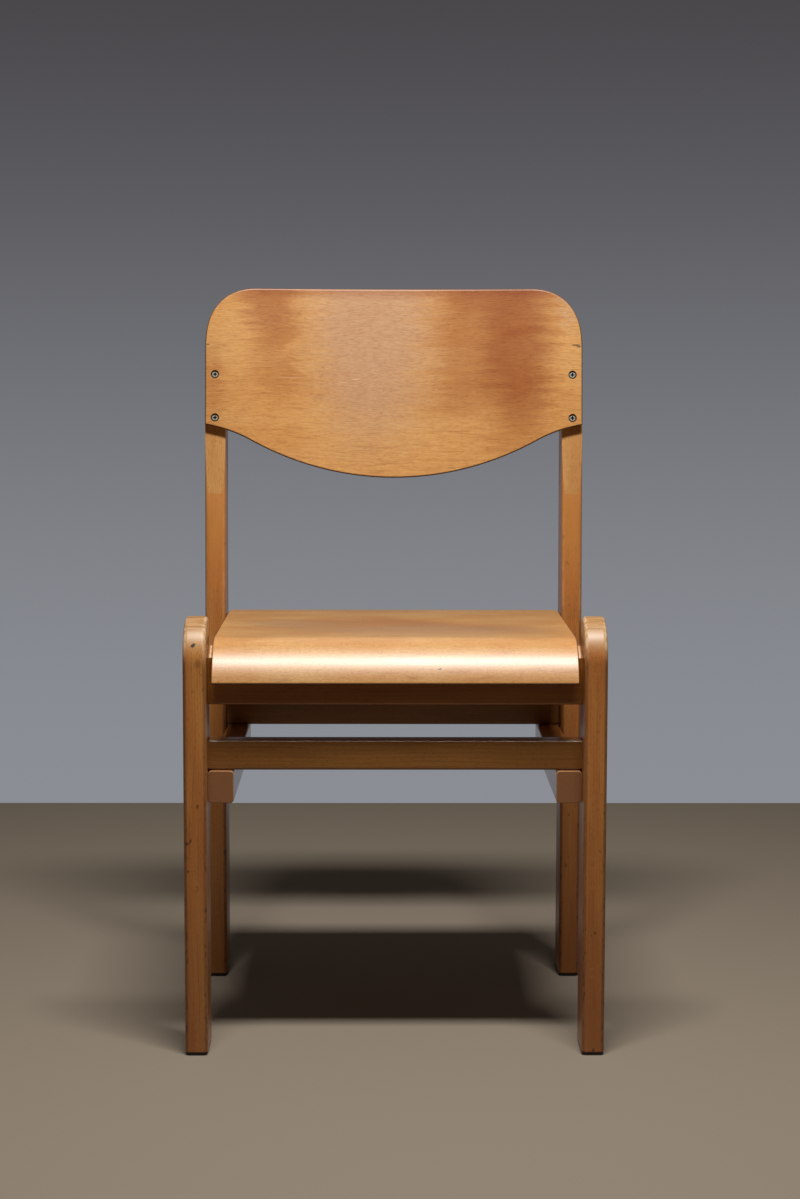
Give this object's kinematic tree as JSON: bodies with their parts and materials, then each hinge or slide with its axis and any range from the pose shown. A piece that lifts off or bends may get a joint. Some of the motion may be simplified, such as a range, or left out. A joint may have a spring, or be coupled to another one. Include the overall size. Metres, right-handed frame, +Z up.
{
  "type": "choir chair",
  "caption": "Wooden choir chair: board legs with round crowns, a moulded plywood seat with a bent front lip and a curved plywood backrest screwed to leaning posts.",
  "frame": {"origin": "on the floor, under the middle of the chair's bounding box", "axes": "+Z up; the chair faces -Y, with the backrest towards +Y; +X is to the right of someone who looks at the chair's front"},
  "size_m": [0.458, 0.4086, 0.8416],
  "materials": {
    "beech": "satin lacquer on solid beech",
    "seat_veneer": "glossy lacquer on beech veneer",
    "back_veneer": "satin lacquer on beech veneer",
    "dowel_beech": "raw turned beech",
    "steel": "zinc plated",
    "black_plastic": "matt moulded"
  },
  "bodies": {
    "root": {"backrest_panel": "back_veneer", "backrest_screw_left_lower": "steel", "backrest_screw_left_upper": "steel", "backrest_screw_right_lower": "steel", "backrest_screw_right_upper": "steel", "corner_block_front_left": "beech", "corner_block_front_right": "beech", "corner_block_rear_left": "beech", "corner_block_rear_right": "beech", "dowel_front_rail_left_lower": "dowel_beech", "dowel_front_rail_left_upper": "dowel_beech", "dowel_front_rail_right_lower": "dowel_beech", "dowel_front_rail_right_upper": "dowel_beech", "dowel_front_stretcher_left_lower": "dowel_beech", "dowel_front_stretcher_left_upper": "dowel_beech", "dowel_front_stretcher_right_lower": "dowel_beech", "dowel_front_stretcher_right_upper": "dowel_beech", "dowel_rear_rail_left_lower": "dowel_beech", "dowel_rear_rail_left_upper": "dowel_beech", "dowel_rear_rail_right_lower": "dowel_beech", "dowel_rear_rail_right_upper": "dowel_beech", "dowel_rear_stretcher_left_lower": "dowel_beech", "dowel_rear_stretcher_left_upper": "dowel_beech", "dowel_rear_stretcher_right_lower": "dowel_beech", "dowel_rear_stretcher_right_upper": "dowel_beech", "dowel_side_rail_left_lower": "dowel_beech", "dowel_side_rail_left_upper": "dowel_beech", "dowel_side_rail_right_lower": "dowel_beech", "dowel_side_rail_right_upper": "dowel_beech", "dowel_side_stretcher_back_left_front": "dowel_beech", "dowel_side_stretcher_back_left_rear": "dowel_beech", "dowel_side_stretcher_back_right_front": "dowel_beech", "dowel_side_stretcher_back_right_rear": "dowel_beech", "dowel_side_stretcher_front_left_front": "dowel_beech", "dowel_side_stretcher_front_left_rear": "dowel_beech", "dowel_side_stretcher_front_right_front": "dowel_beech", "dowel_side_stretcher_front_right_rear": "dowel_beech", "front_leg_left": "beech", "front_leg_right": "beech", "front_rail": "beech", "front_stretcher": "beech", "glide_front_left": "black_plastic", "glide_front_right": "black_plastic", "glide_rear_left": "black_plastic", "glide_rear_right": "black_plastic", "rear_leg_left": "beech", "rear_leg_right": "beech", "rear_rail": "beech", "rear_stretcher": "beech", "seat_panel": "seat_veneer", "seat_screw_front_left": "steel", "seat_screw_front_right": "steel", "seat_screw_rear_left": "steel", "seat_screw_rear_right": "steel", "side_rail_left": "beech", "side_rail_right": "beech", "side_stretcher_left": "beech", "side_stretcher_right": "beech"}
  },
  "joints": []
}
